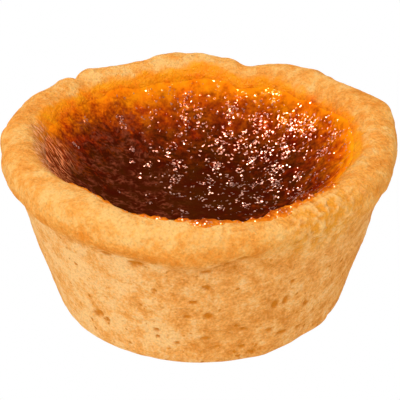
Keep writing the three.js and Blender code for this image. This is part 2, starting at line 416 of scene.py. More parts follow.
wobble = 0.4 * shaken(crust_base, 1.3, (11, 12, 13))
pit_mask = placed_pits(around_angle + 0.8 * wobble[..., 0], height_up + 0.5 * wobble[..., 1])
pit_mask = outside_face * ramp(pit_mask, 0.25, 0.65)
crumbly = bell_at(around_angle, PATCH["at"], PATCH["spread"]) * ramp(height_up, PATCH["low"], PATCH["high"])
crumbly *= ramp(inward, 0.5, -1.0)
crumbs = ramp(layered(crust_base + wobble, (1.0, 1.7, 31), (0.9, 0.7, 32)), -0.5, 0.8)

lumps = (0.12 + 0.14 * on_rim) * noise(crust_base, 8.5, 1)
lumps += (0.10 + 0.10 * on_rim) * noise(crust_base, 4.1, 2)
grain = layered(crust_base, (0.08, 1.9, 3), (0.055, 0.95, 4))
relief = lumps + grain - 0.2 * pit_mask
relief += crumbly * (0.45 * crumbs - 0.25 + 0.4 * noise(crust_base, 2.8, 5))
relief += knocked(around_angle, height_up) * ramp(inward, 1.5, -1.0)
relief += 0.16 * noise(crust_base, 2.6, 6) * bell(inward - 0.5, 1.6)
relief *= above_floor * outside_face
crust_points = crust_base + relief[..., None] * crust_normals
print("relief from", round(float(relief.min()), 2), "to", round(float(relief.max()), 2), "mm")

# %% [markdown]
# ## Where the caramel soaked in
# Syrup creeps up the inside of the crust and turns it amber. How high it climbs depends on the
# place: it stops just above the filling at the back and the right, and licks over the crest in a few
# spots at the front. From there inward one number runs on without a break over crust and filling
# alike: how many millimetres of caramel lie between the eye and the pastry's own colour. It is
# squeezed into a tone from 0 to 1, and both materials read their colour from that.

# %% Soaked masks
# Licks of caramel: angle, spread in degrees, and how many millimetres further out it starts.
licks = [
    (30, 20, -0.3), (352, 16, 1.1), (86, 9, 1.6), (115, 30, 0.8), (162, 9, 2.0), (146, 12, 0.8),
    (198, 14, -0.4), (232, 14, 0.9), (259, 4, 1.2), (271, 4, 2.2), (296, 6, 2.4), (278, 34, 0.6),
]
SOAK_START = 2.6  # mm past the crest
MOUTH = 4.5  # mm past the crest, where the filling's surface begins
DARKENS = 1.12  # how much more caramel there is for each millimetre inward
THICK = 8  # mm of caramel that take the tone halfway
SKIN_AT = 190  # degrees: where the skin was drawn out
# Where it darkens faster: angle, spread, how much faster, and how many millimetres ahead it starts.
# The entries at 195 and 228 degrees darken the left and front left, where the rim shades the bowl: painted
# shade on top of deeper caramel.
darkened = [
    (150, 32, 0.45, 1.8), (30, 24, 0.3, 1.8), (195, 17, 0.6, 5.5), (76, 20, 0.35, 1.0),
    (0, 25, 0.2, 0.0), (338, 16, 0.0, 1.0), (228, 22, 0.35, 0.5),
]


def soak_start(angle):
    """Distance past the crest where the syrup starts: a constant less each lick's bell curve."""
    return SOAK_START - sum(out * bell_at(angle, at, spread) for at, spread, out in licks)


def steeping(p, past_mouth, angle):
    """Millimetres of caramel, plus painted shade at some angles: the distance past the mouth, made ragged,
    plus a head start, times a rate.
    """
    ragged = layered(p, (0.9, 2.6, 81), (0.5, 1.0, 82))
    ragged += 2.2 * noise(p, 5.5, 83) * ramp(past_mouth, 3, 10)
    rate = DARKENS + sum(more * bell_at(angle, at, spread) for at, spread, more, _ in darkened)
    head_start = sum(ahead * bell_at(angle, at, spread) for at, spread, _, ahead in darkened)
    return np.clip((past_mouth + ragged + head_start) * rate, 0, None)


def squeezed(steeped):
    """Steeped / (steeped + thick): 0 with no caramel, towards 1 where it is deep."""
    return steeped / (steeped + THICK)


def drawn_out(p, past_mouth, angle):
    """Where the skin is drawn out into fibres, 0 to 1: a ragged patch over crust and filling at the left."""
    where = ramp(np.abs(turn_away(angle, SKIN_AT) + 4 * noise(p, 4.0, 67)), 24, 15)
    where *= ramp(past_mouth + 1.2 * noise(p, 2.0, 66), -3.4, -1.6)
    return where * ramp(past_mouth + 2 * noise(p, 2.5, 65), 9.0, 3.0)


ragged = layered(crust_base, (0.9, 2.4, 41), (0.6, 0.9, 42), (0.8, 4.6, 43))
soak = ramp(inward + ragged, soak_start(around_angle) - 0.1, soak_start(around_angle) + 1.6)
crust_tone = squeezed(steeping(crust_base, inward - MOUTH, around_angle))
crust_tone += 0.28 * ramp(soak_start(around_angle), 0.3, -0.6) * ramp(inward, -1.5, 0.5)
print("syrup covers", round(100 * float(soak.mean())), "% of the crust's grid")

# %% [markdown]
# ## Where it browned, and painted shade under the rim
# The oven browned the crust unevenly, and the tin shielded the wall. The wall is palest at the front
# left, the crest at the back and in the middle of the front. Close under the rim at the front left the
# same mask holds a darker band, painted shade in the fold under the overhang. With this last mask the
# crust is complete and becomes a mesh.

# %% Toasted mask with painted shade under the rim, and the crust
pale_arc = bell_at(around_angle, 100, 45) + bell_at(around_angle, 270, 22)
toast_and_shade = 0.45 + layered(crust_base, (0.4, 6.0, 51), (0.25, 2.5, 52))
toast_and_shade += 0.45 * ramp(np.abs(turn_away(around_angle, 225)), 15, 60) * (1 - 0.5 * on_rim) - 0.14
toast_and_shade += on_rim * (0.22 - 0.45 * pale_arc)
# A darker band close under the rim at the front left: painted shade in the fold under the overhang.
overhang_shade = bell(height_up - rim["underside"] - 0.9, 1.6)
toast_and_shade += 0.8 * overhang_shade * ramp(around_angle, 195, 215) * ramp(around_angle, 300, 270)
crust_values = {
    "wall": 1 - 0.9 * on_rim,
    "soak": soak,
    "tone": crust_tone,
    "toast_and_shade": np.clip(toast_and_shade, 0, 1),
    "pit": pit_mask,
    "crumbly": crumbly,
    "crumbs": crumbs,
    "fibres": drawn_out(crust_base, inward - MOUTH, around_angle),
}
poles = np.array([[0, 0, 0], [0, 0, pastry["floor"]]])
crust_values = {label: np.append(value.ravel(), [0, 0]) for label, value in crust_values.items()}
crust = make_piece(
    "crust",
    np.concatenate([crust_points.reshape(-1, 3), poles]),
    turned_faces(*crust_base.shape[:2]),
    crust_values,
)

# %% [markdown]
# ## The filling's surface
# The caramel is a skin over a sunken bowl. A polar grid would crowd its points in the middle, so a
# square grid is bent into a disc instead, which keeps them evenly spaced and small enough for the
# bubbles. The bowl steepens to the edge as the distance to a power, and three shallow hollows are
# where large bubbles sank.

# %% Base of the filling
def square_to_disc(a, b):
    """Bends the square -1..1 into a disc: the larger coordinate becomes the radius, the ratio the angle."""
    wide = np.abs(a) > np.abs(b)
    radius = np.where(wide, a, b)
    ratio = np.where(wide, b, a) / np.where(radius == 0, 1, radius)
    turn = np.where(wide, np.pi / 4 * ratio, np.pi / 2 - np.pi / 4 * ratio)
    return radius * np.cos(turn), radius * np.sin(turn)


def bowl_height(share, x, y, edge_height, steepness):
    """Height of the surface: floor + (edge - floor) share^steepness, less the hollows."""
    z = well["floor_height"] + (edge_height - well["floor_height"]) * share ** steepness
    for at_x, at_y, radius, depth in hollows:
        z = z - depth * bell(np.hypot(x - at_x, y - at_y), radius) * (1 - share**4)
    return z


def roll_height(past_crest, crest_height):
    """Height of the crust's inner roll: crest - drop t^2, where past_crest = roll (0.9 t + 0.1 t^2)."""
    t = (np.sqrt(0.81 + 0.4 * np.maximum(past_crest, 0) / rounding["roll"]) - 0.9) / 0.2
    return crest_height - well["edge_drop"] * t**2


FILL_STEPS = 302
TUCK = 0.8  # mm by which the filling's edge reaches into the crust
BELOW = 0.45  # mm by which its border lies under the crust's surface, so that it stays out of sight
CLIMB = 0.4  # mm by which the syrup climbs the crust above the solid's edge
line = np.linspace(-1, 1, FILL_STEPS)
unit_x, unit_y = square_to_disc(*np.meshgrid(line, line, indexing="ij"))
fill_angle = np.degrees(np.arctan2(unit_y, unit_x)) % 360
_, crest_radius, crest_height, _ = rim_at(fill_angle)
mouth_radius = crest_radius - 0.91 * rounding["roll"]
mouth_height = crest_height - well["edge_drop"] + CLIMB
fill_x = unit_x * (mouth_radius + TUCK)
fill_y = unit_y * (mouth_radius + TUCK)
from_edge = mouth_radius - np.hypot(fill_x, fill_y)
share = 1 - from_edge / mouth_radius
under = ramp(from_edge, 1.2, -0.4)
hidden = roll_height(crest_radius - np.hypot(fill_x, fill_y), crest_height) - BELOW
fill_z = (1 - under) * bowl_height(share, fill_x, fill_y, mouth_height, well["steepness"]) + under * hidden
fill_base = np.stack([fill_x, fill_y, fill_z], axis=-1)
fill_normals = -grid_normals(fill_base, wrap=False)
heights = np.round([fill_z.min(), fill_z.max()], 1)
print("filling grid", fill_base.shape[:2], "between the heights", heights, "mm")

# %% [markdown]
# ## Skin and froth
# The left dried to a dull skin. The right and the middle are a froth of tiny set bubbles, in clumps
# that are listed one by one and in patches between them, and its palest chips catch the light. Each
# of these is a mask from 0 to 1 with an edge made ragged by a noise, and is stored on the mesh, where
# the material reads it.

# %% Masks of the filling
skin = ramp(fill_x + 0.35 * fill_y + 3 * noise(fill_base, 7.0, 61), 1.0, -9.0)
calm = bell(fill_y + 9, 7) * ramp(fill_x, 14, 4)  # a stretch in front of the middle with few bubbles
patches = ramp(layered(fill_base, (1.0, 3.4, 62), (0.8, 1.6, 63)), -0.1, 0.6)
# Clumps of froth: x, y, half length in mm.
clumps = [
    (-3, 26, 2.0), (-3, 23.5, 1.8), (-4, 20, 1.3), (0, 24.5, 1.2), (-5.5, 16.5, 1.8), (-4.5, 12.5, 2.0),
    (-4.5, 7.5, 2.1), (2, 7, 1.9), (6.5, 7, 2.0), (4, 17.5, 2.0), (6, 19.5, 1.7), (8.5, 16.5, 2.2),
    (10.5, 13, 1.8), (3.5, 12.5, 1.8), (7, 24, 2.8), (12.5, 21.5, 2.8), (13, 25.5, 1.7),
    (16, 24.5, 1.8), (13.5, 13, 2.1), (16.5, 15, 2.3), (17, 11.5, 2.3), (18.5, 17.5, 2.4),
    (22, 14, 2.8), (25.5, 8, 2.2), (14.5, 8.5, 2.5), (15, 3, 2.7), (19, 3, 1.7), (18.5, -3.5, 2.1),
    (11, 5, 1.8), (11.5, -1.5, 1.7), (14, -6, 1.6), (4, -4, 1.2), (0.5, 0.5, 0.9), (-2.5, -5.5, 1.0),
    (8, 11, 1.5), (-22.5, 15.5, 1.0), (-24, 8.5, 0.9), (-15.5, 19.5, 1.4), (-10, 20.5, 0.7),
    (-9.5, 23, 1.4), (-13.5, 14, 1.0), (-13.5, 11, 1.0), (-10, 10.5, 1.4), (-15.5, 0, 0.8),
    (-10, 1.5, 0.8), (-9.5, -2, 1.0), (8, 4.5, 1.4), (13.5, 1.5, 1.5), (9, -3.5, 1.2), (23.5, 7, 1.4),
    (20, 15, 2.0), (17, 19, 1.9), (-5.5, 4.5, 1.0), (11, 16.5, 1.8), (13.5, 18, 1.6),
]
NARROW = 0.7  # a clump's width for each mm of its length
clumped = np.zeros_like(fill_x)
for x, y, half in clumps:
    clumped = np.maximum(clumped, bell(fill_x - x, NARROW * half) * bell(fill_y - y, half))
clumped = ramp(clumped + 0.5 * noise(fill_base, 1.2, 58), 0.3, 0.75)
wet = ramp(fill_x + 0.3 * fill_y + 2 * noise(fill_base, 5.0, 60), -14.0, 2.0) * (1 - 0.75 * calm)
froth = np.maximum((1 - 0.9 * skin) * (1 - 0.8 * calm) * (0.15 + 0.5 * patches), clumped)
chips = np.maximum(wet * (0.08 + 0.42 * patches**1.5), clumped)
chips *= ramp(from_edge + noise(fill_base, 2.0, 59), -0.4, 1.6)
# Where this is 1 the chips are painted near white, as a painted highlight.
pale = ramp(fill_y - 0.3 * fill_x + 2 * noise(fill_base, 4.0, 57), 17.0, 4.0)  # chips paler in front
thin = ramp(from_edge, 2.8, 0.0)
SLANT = 1.35  # mm along the slope for each mm inward, near the edge
fibres = drawn_out(fill_base, SLANT * from_edge, fill_angle)
print(len(clumps), "clumps, and froth on", round(100 * float((froth > 0.5).mean())), "% of the filling")

# %% [markdown]
# ## Bubbles and wrinkles
# Bubbles are domes round scattered points. The skin's wrinkles wander like worms, as do the lines
# where a noise passes through zero. Those that the mesh can hold are height along the normal, on top
# of slow waves, and the material adds what is finer.

# %% Relief of the filling
fill_wobble = 0.3 * shaken(fill_base, 0.8, (64, 65, 66))
bubble_distance, bubble_luck = cells(fill_base + fill_wobble, 0.7, 67)
bubbles = np.sqrt(np.clip(1 - (bubble_distance / 0.75) ** 2, 0, 1)) * (0.5 + 0.5 * bubble_luck)
worms = 1 - 2 * np.abs(noise(fill_base + 2.5 * fill_wobble, 1.7, 68))
fill_relief = layered(fill_base, (0.40, 6.0, 70), (0.30, 3.1, 71))
fill_relief += froth * (0.08 * bubbles + 0.03 * noise(fill_base, 0.7, 72))
fill_relief += skin * 0.06 * worms * (1 - fibres)
fill_relief *= ramp(from_edge, -0.6, 1.0)
fill_points = fill_base + fill_relief[..., None] * fill_normals
print("relief from", round(float(fill_relief.min()), 2), "to", round(float(fill_relief.max()), 2), "mm")

# %% [markdown]
# ## Closing the filling
# Under its surface the filling is closed like the solid: the grid's border is carried down beside
# the crust's inner face and joined to one point on the floor. Froth scatters the light, so the
# caramel's tone is a little lighter there, most of all on the bubbles.

# %% The filling as a closed piece
index = np.arange(FILL_STEPS**2).reshape(FILL_STEPS, FILL_STEPS)
top_quads = np.stack([index[:-1, :-1], index[1:, :-1], index[1:, 1:], index[:-1, 1:]], axis=-1).reshape(-1, 4)
border = np.concatenate([index[:-1, 0], index[-1, :-1], index[:0:-1, -1], index[0, :0:-1]])
border_angle = fill_angle.ravel()[border]
GAP = 0.3  # mm to the crust's inner face
throat_height = tin["depth"] - pastry["throat"]
throat_radius = outer_radius(throat_height) - pastry["wall"] - GAP
throat_ring = turned(np.tile([throat_radius, throat_height], (len(border), 1)), border_angle)
ring_index = FILL_STEPS**2 + np.arange(len(border))
centre_index = FILL_STEPS**2 + len(border)
side_quads = np.stack([border, ring_index, np.roll(ring_index, -1), np.roll(border, -1)], axis=-1)
under = np.stack([np.full(len(border), centre_index), np.roll(ring_index, -1), ring_index], axis=-1)
fill_all = np.concatenate([fill_points.reshape(-1, 3), throat_ring, [[0, 0, pastry["floor"] + GAP]]])

tone = squeezed(steeping(fill_base, SLANT * from_edge, fill_angle))
tone *= 1 - 0.08 * wet
tone += froth * 0.16 * (0.45 - bubbles)
# The ridge tops of the wrinkles, which the material paints paler: partly dried skin, partly painted sheen.
ridges = skin * ramp(worms, 0.35, 0.95) * ramp(noise(fill_base, 2.6, 84), -0.45, 0.25)
ridges *= ramp(from_edge, 1.0, 4.0)
fill_values = {
    "tone": tone,
    "skin": skin,
    "froth": froth,
    "ridges": ridges,
    "fibres": fibres,
    "chips": chips,
    "pale": pale,
    "thin": thin,
}
unseen = np.zeros(len(border) + 1)
fill_values = {label: np.append(value.ravel(), unseen) for label, value in fill_values.items()}
fill_faces = top_quads.tolist() + side_quads.tolist() + under.tolist()
filling = make_piece("filling_surface", fill_all, fill_faces, fill_values)

# %% [markdown]
# ## Caramel that boiled over
# At the front some caramel boiled over the crest and set there: a blob in the middle, smaller ones to
# its left, a grainy patch at the right, and a thin ragged seam along the inner edge. They are one thin
# closed shell laid on the crust's own surface. Its thickness is the highest of several mounds and the
# seam, frothed by bubbles, and where that runs out the shell dips into the crust, out of sight.

# %% Boiled-over caramel
# Mounds: angle, mm past the crest, half width and half length in mm, and thickness.
mounds = [
    (269.3, 0.4, 1.4, 1.2, 0.60), (271.8, 0.0, 1.5, 1.5, 0.68), (274.6, 0.4, 1.5, 1.2, 0.62),
    (264.5, 1.4, 1.6, 0.8, 0.5), (279.0, 1.4, 1.8, 0.8, 0.45), (257.5, 1.5, 1.2, 0.7, 0.55),
    (288.0, 1.2, 1.7, 0.9, 0.5), (292.0, 0.6, 1.7, 1.4, 0.60), (296.5, 0.4, 1.9, 1.6, 0.62),
    (302.0, 1.0, 1.8, 0.9, 0.5),
]
SPILL_FROM, SPILL_TO = 214, 330  # degrees
SPILL_ROWS = 10  # rows of the crust's grid to either side of the crest
SPILL_DEPTH = 0.45  # mm from the crust's surface down to the shell's underside
SUNK = 0.20  # mm under the crust's surface, where there is no caramel
LEAST = 0.12  # mm that a mound or the seam has to reach before it shows
FINER = 3  # rows and columns for each one of the crust's grid


def between(grid, row, column):
    """A grid's values at rows and columns that aren't whole: blended linearly from the four around each."""
    r, c = np.floor(row).astype(int), np.floor(column).astype(int)
    shape = (-1, 1) + (1,) * (grid.ndim - 2)
    u, v = (row - r).reshape(shape), (column - c).reshape(shape)[:, 0]
    upper = grid[r][:, c] * (1 - v) + grid[r][:, c + 1] * v
    lower = grid[r + 1][:, c] * (1 - v) + grid[r + 1][:, c + 1] * v
    return upper * (1 - u) + lower * u


def sheet_faces(rows, columns):
    """Faces of a closed sheet: an upper grid of points, then a lower one, joined round their borders."""
    upper = np.arange(rows * columns).reshape(rows, columns)
    lower = upper + rows * columns
    top = np.stack([upper[:-1, :-1], upper[:-1, 1:], upper[1:, 1:], upper[1:, :-1]], axis=-1).reshape(-1, 4)
    bottom = np.stack([lower[:-1, :-1], lower[1:, :-1], lower[1:, 1:], lower[:-1, 1:]], axis=-1)
    rim_up = np.concatenate([upper[0, :-1], upper[:-1, -1], upper[-1, :0:-1], upper[:0:-1, 0]])
    rim_down = rim_up + rows * columns
    side = np.stack([rim_up, rim_down, np.roll(rim_down, -1), np.roll(rim_up, -1)], axis=-1)
    return np.concatenate([top, bottom.reshape(-1, 4), side]).tolist()


spill_row = np.arange(crest_row - SPILL_ROWS, crest_row + SPILL_ROWS, 1 / FINER)
spill_column = np.arange(SPILL_FROM / 360 * CRUST_COLUMNS, SPILL_TO / 360 * CRUST_COLUMNS, 1 / FINER)
spill_base = between(crust_points, spill_row, spill_column)
spill_normal = between(crust_normals, spill_row, spill_column)
spill_inward = between(inward, spill_row, spill_column)
spill_angle = np.broadcast_to(spill_column * 360 / CRUST_COLUMNS, spill_inward.shape)
mounded = np.zeros_like(spill_inward)
for at, past, half_width, half_length, thickness in mounds:
    sideways = np.radians(turn_away(spill_angle, at)) * (rim["reach"] - rim["width"])
    mound = thickness * bell(sideways, half_width) * bell(spill_inward - past, half_length)
    mounded = np.maximum(mounded, mound)
seam_past = np.interp(spill_angle, (SPILL_FROM, 230, 250, SPILL_TO), (2.4, 2.1, 1.6, 1.5))
seam = np.interp(spill_angle, (255, 268), (0.42, 0.6)) * bell(spill_inward - seam_past, 0.7)
seam *= ramp(spill_angle, SPILL_FROM, SPILL_FROM + 4) * ramp(spill_angle, SPILL_TO - 4, SPILL_TO - 14)
mounded = np.maximum(mounded, seam * np.clip(0.7 + 1.1 * noise(spill_base, 1.9, 94), 0, 1.4))
froth_distance, froth_luck = cells(spill_base + 0.25 * noise(spill_base, 0.7, 91)[..., None], 0.75, 92)
spill_froth = ramp(froth_distance, 0.65, 0.1) * froth_luck
mounded *= 0.85 + 0.7 * noise(spill_base, 1.3, 93) + 0.5 * spill_froth * ramp(spill_angle, 280, 290)
spilled = np.clip(mounded - LEAST, 0, None)
lift = spilled + 1.1 * SUNK * ramp(mounded, 0.5 * LEAST, LEAST + 0.04) - SUNK
spill_points = np.concatenate([
    (spill_base + lift[..., None] * spill_normal).reshape(-1, 3),
    (spill_base - SPILL_DEPTH * spill_normal).reshape(-1, 3),
])
spill = make_piece(
    "spilled_caramel",
    spill_points,
    sheet_faces(*spill_inward.shape),
    {"thickness": np.append(spilled.ravel(), np.zeros(spilled.size))},
)

# %% [markdown]
# ## Recipes for nodes
# A material is a graph of nodes, and written link by link even a short sum gets long. So each output
# of a node is wrapped as a *wire*, which takes part in sums like a number and adds the Math nodes by
# itself. The recipes below can then be read as the formulas that they are.

# %% Node helpers
class Wire:
    """A node's output that takes part in sums like a number: every +, - and * adds a Math node."""

    def __init__(self, socket):
        self.socket = socket
        self.tree = socket.id_data

    def also(self, output):
        """Another output of the same node."""
        return Wire(self.socket.node.outputs[output])

    def __add__(self, other):
        return math_step("ADD", self, other)

    def __sub__(self, other):
        return math_step("SUBTRACT", self, other)

    def __rsub__(self, other):
        return math_step("SUBTRACT", other, self)

    def __mul__(self, other):
        return math_step("MULTIPLY", self, other)

    __radd__ = __add__
    __rmul__ = __mul__


def plug(socket, value):
    """Links a wire to a socket, or sets the socket to a plain value. Colours get their alpha of 1 here."""
    if isinstance(value, Wire):
        value.tree.links.new(value.socket, socket)
    elif socket.type == "RGBA":
        socket.default_value = (*value, 1)
    else:
        socket.default_value = value


def set_inputs(node, **values):
    """Plugs each value into the input of that name, whose spaces are written as underscores."""
    for label, value in values.items():
        plug(node.inputs[label.replace("_", " ")], value)


def wire(tree, kind, output, settings=None, numbered=(), **named):
    """Adds a node, sets its own settings, then its inputs by number or by name, and gives one output."""
    node = tree.nodes.new(kind)
    for label, value in (settings or {}).items():
        setattr(node, label, value)
    for socket, value in zip(node.inputs, numbered):
        plug(socket, value)
    set_inputs(node, **named)
    return Wire(node.outputs[output])


def math_step(operation, a, b):
    """One arithmetic step on two values, at least one of which is a wire."""
    tree = (a if isinstance(a, Wire) else b).tree
    return wire(tree, "ShaderNodeMath", 0, {"operation": operation}, (a, b))


# %% [markdown]
# ## Steps, ramps and groups
# The rest are names for the few nodes that the recipes use, and for building and placing a group. A
# group is built once and shared by the materials, each of which gives it its own values.

# %% Named steps and groups
def vector_step(tree, operation, *vectors, **named):
    """One step of vector arithmetic."""
    return wire(tree, "ShaderNodeVectorMath", 0, {"operation": operation}, vectors, **named)


def smooth_step(value, low, high):
    """The same S-shaped ramp as above, as a node: 0 at low, 1 at high. Low may be above high."""
    settings = {"interpolation_type": "SMOOTHSTEP"}
    limits = {"From_Min": low, "From_Max": high}
    return wire(value.tree, "ShaderNodeMapRange", "Result", settings, Value=value, **limits)


def stored(tree, label):
    """The value stored on the mesh under a name."""
    return wire(tree, "ShaderNodeAttribute", "Fac", {"attribute_name": label})


def mixed(amount, a, b):
    """Colour a changed into colour b by an amount from 0 to 1."""
    result = wire(amount.tree, "ShaderNodeMix", 2, {"data_type": "RGBA"})
    for number, value in ((0, amount), (6, a), (7, b)):
        plug(result.socket.node.inputs[number], value)
    return result


def colour_ramp(value, stops):
    """A colour ramp through (position, colour) stops."""
    result = wire(value.tree, "ShaderNodeValToRGB", "Color", Fac=value)
    elements = result.socket.node.color_ramp.elements
    while len(elements) < len(stops):
        elements.new(0.5)
    for element, (position, colour) in zip(elements, stops):
        element.position = position
        element.color = (*colour, 1)
    return result


def new_group(name, inputs, output, output_kind):
    """A node group with number inputs and one output: the group, wires from its inputs, its output socket."""
    group = bpy.data.node_groups.new(name, "ShaderNodeTree")
    for label, value in inputs.items():
        group.interface.new_socket(label, in_out="INPUT", socket_type="NodeSocketFloat").default_value = value
    group.interface.new_socket(output, in_out="OUTPUT", socket_type=output_kind)
    given = group.nodes.new("NodeGroupInput").outputs
    result = group.nodes.new("NodeGroupOutput").inputs[output]
    return group, {label: Wire(given[label]) for label in inputs}, result


def give(result, value):
    """Completes a node group: plugs its result into its output."""
    plug(result, value)
    print("group", result.id_data.name, "has", len(result.id_data.nodes), "nodes")


def placed(tree, group, **inputs):
    """A node group placed in a tree with its own inputs. It gives the group's one output."""
    return wire(tree, "ShaderNodeGroup", 0, {"node_tree": group}, **inputs)


def new_material(name):
    """A material and its node tree."""
    material = bpy.data.materials.new(name)
    material.use_nodes = True
    return material, material.node_tree


def dress(piece, material, **inputs):
    """Completes a material, by the inputs of its Principled BSDF, and gives it to a piece."""
    tree = material.node_tree
    set_inputs(tree.nodes["Principled BSDF"], **inputs)
    piece.data.materials.append(material)
    print("material", material.name, "has", len(tree.nodes), "nodes")


# %% [markdown]
# ## A shared grain
# Crust, filling and boiled-over caramel all need a mottle at a chosen size, so it is a node group with
# named inputs: the size in millimetres, the detail, and the contrast. It gives a value around one half.

# %% Node group: mottle
mottle, given, result = new_group(
    "Mottle", {"Size mm": 1.0, "Detail": 3.0, "Contrast": 1.0}, "Value", "NodeSocketFloat"
)
soft = wire(
    mottle, "ShaderNodeTexNoise", "Fac", Vector=wire(mottle, "ShaderNodeTexCoord", "Object"),
    Scale=math_step("DIVIDE", 1 / MM, given["Size mm"]), Detail=given["Detail"],
)
give(result, (soft - 0.5) * given["Contrast"] + 0.5)


def mottled(tree, size_mm, detail=3.0, contrast=1.0):
    """A Mottle group placed in a tree with its own size, detail and contrast."""
    return placed(tree, mottle, Size_mm=size_mm, Detail=detail, Contrast=contrast)


# %% [markdown]
# ## Small pits
# The smallest pits and bubbles are finer than the mesh, so they are a node group too: scattered points
# a spacing apart, of which a share carries a pit. It gives 1 in a pit and 0 outside.

# %% Node group: pits
def scattered(tree, size_mm, bend_mm):
    """The distance to the nearest of points this size apart, with the space between them bent by a noise."""
    place = wire(tree, "ShaderNodeTexCoord", "Object")
    bend = wire(tree, "ShaderNodeTexNoise", "Color", Vector=place, Scale=1 / (bend_mm * MM), Detail=1.0)
    bent = vector_step(tree, "MULTIPLY_ADD", bend, (bend_mm * MM,) * 3, place)
    scale = math_step("DIVIDE", 1 / MM, size_mm)
    return wire(tree, "ShaderNodeTexVoronoi", "Distance", Vector=bent, Scale=scale)


pit_group, given, result = new_group(
    "Pits", {"Spacing mm": 2.0, "Share": 0.4, "Radius": 0.25}, "Mask", "NodeSocketFloat"
)
points = scattered(pit_group, given["Spacing mm"], bend_mm=0.9)
luck = wire(pit_group, "ShaderNodeSeparateColor", "Red", Color=points.also("Color"))
chosen = math_step("LESS_THAN", luck, given["Share"])
give(result, smooth_step(points, given["Radius"], given["Radius"] * 0.4) * chosen)


def small_pits(tree, spacing_mm, share, radius):
    """A Pits group placed in a tree with its own spacing, share and radius (in spacings)."""
    return placed(tree, pit_group, Spacing_mm=spacing_mm, Share=share, Radius=radius)


# %% [markdown]
# ## Facets that glint
# Froth that has set is a crowd of tiny facets, each tilted its own way, so that a single one
# either mirrors the lamp or stays dark. The group scatters cells and leans the surface's normal by a
# random amount in each.

# %% Node group: facets
facet_group, given, result = new_group("Facets", {"Size mm": 0.6, "Tilt": 0.5}, "Normal", "NodeSocketVector")
chance = scattered(facet_group, given["Size mm"], bend_mm=0.5).also("Color")
lean = vector_step(facet_group, "SUBTRACT", chance, (0.5, 0.5, 0.5))
lean = vector_step(facet_group, "SCALE", lean, Scale=given["Tilt"])
leaned = vector_step(facet_group, "ADD", wire(facet_group, "ShaderNodeNewGeometry", "Normal"), lean)
give(result, vector_step(facet_group, "NORMALIZE", leaned))

# %% [markdown]
# ## Caramel over pastry
# One group turns the squeezed depth of caramel into its colour: pale amber where it is thin, then
# orange, red-brown and nearly black. A mottle breaks it up, and a wide one turns its hue a little.
# Crust and filling share it, so the edge between them can't be seen.

# %% Node group: caramel colour
SPECKLE = 0.42  # how much the fine mottle changes the tone, where nothing else is asked for
caramel_group, given, result = new_group(
    "Caramel", {"Tone": 0.0, "Speckle": SPECKLE}, "Color", "NodeSocketColor"
)
coarse = mottled(caramel_group, 1.6, 4.0) - 0.5
fine = mottled(caramel_group, 0.6) - 0.5
caramel = colour_ramp(given["Tone"] + (coarse * 0.42 + fine * given["Speckle"]), [
    (0.0, (0.985, 0.315, 0.008)),
    (0.17, (0.98, 0.27, 0.004)),
    (0.30, (0.87, 0.205, 0.003)),
    (0.40, (0.62, 0.112, 0.002)),
    (0.50, (0.36, 0.048, 0.002)),
    (0.61, (0.17, 0.018, 0.002)),
    (0.73, (0.058, 0.0075, 0.001)),
])
hue = 0.491 + mottled(caramel_group, 3.5, 2.0, 2.2) * 0.020  # 0.5 would leave the hue as it is
give(result, wire(caramel_group, "ShaderNodeHueSaturation", "Color", Color=caramel, Hue=hue))


def caramel_colour(tree, speckle=SPECKLE):
    """The caramel's colour for the tone stored on the mesh, more or less speckled."""
    return placed(tree, caramel_group, Tone=stored(tree, "tone"), Speckle=speckle)


# %% [markdown]
# ## Drawn-out skin
# At the left the skin was drawn out into short fibres while it set. They are finer than the mesh, so
# they are a noise in the material whose coordinates are shortened along the fibres' way, which draws
# the noise out by as much. It is 1 on a fibre and 0 between.

# %% Node group: fibres
FIBRE_WAY = (0.585, -0.48, -0.655)  # unit vector along the fibres
SHORTENED = 0.78  # the share of each length along them that is taken away
fibre_group, _, result = new_group("Fibres", {}, "Mask", "NodeSocketFloat")
place = wire(fibre_group, "ShaderNodeTexCoord", "Object")
along = vector_step(fibre_group, "DOT_PRODUCT", place, FIBRE_WAY).also("Value")
taken = vector_step(fibre_group, "SCALE", FIBRE_WAY, Scale=along * -SHORTENED)
place = vector_step(fibre_group, "ADD", place, taken)
strands = wire(fibre_group, "ShaderNodeTexNoise", "Fac", Vector=place, Scale=1 / (0.42 * MM), Detail=2.0)
give(result, smooth_step(strands, 0.46, 0.60))


def fibred(tree):
    """Masks of the fibres and of the gaps between them, where the mesh says that there are any."""
    where = stored(tree, "fibres")
    strands = where * placed(tree, fibre_group)
    return strands, where - strands


# %% [markdown]
# ## Baked pastry
# The crust's colour is a ramp from pale to toasted, driven by the toast mask, which also holds painted
# shade under the rim, and three mottles. The rim's ramp is warmer than the wall's, which the tin kept
# from browning. The crumb mottle and a sand mottle, which sets the brightness, are also the bump's
# height, and the colour follows them: painted shade in the grain's hollows and painted light on its
# high points. Pits are more amber, and between the crumbs it is darker than on them. Over that lies
# the syrup, which smooths the crust a little. At the left its fibres are painted bright, their own
# colour and a painted sheen. Pastry is matte, so it hardly mirrors anything.

# %% Material: crust
PIT_AMBER = (0.62, 0.18, 0.006)
BETWEEN_CRUMBS = (0.84, 0.32, 0.022)
CRUMB_TOP = (1.0, 0.58, 0.20)
GAP_ON_CRUST = (0.62, 0.15, 0.010)
FIBRE_AND_SHEEN_ON_CRUST = (1.0, 0.44, 0.20)
crust_material, tree = new_material("baked_crust")
on_wall, in_patch, on_crumb = (stored(tree, label) for label in ("wall", "crumbly", "crumbs"))
crumb_and_shade = mottled(tree, 1.0, 4.0, 2.0)
grains = mottled(tree, 0.55, 2.0, 2.0)
sand_and_shade = mottled(tree, 0.4, 4.0, 2.0)
bake = stored(tree, "toast_and_shade") * 0.55 - 0.09 + mottled(tree, 3.0, 5.0, 2.8) * 0.50
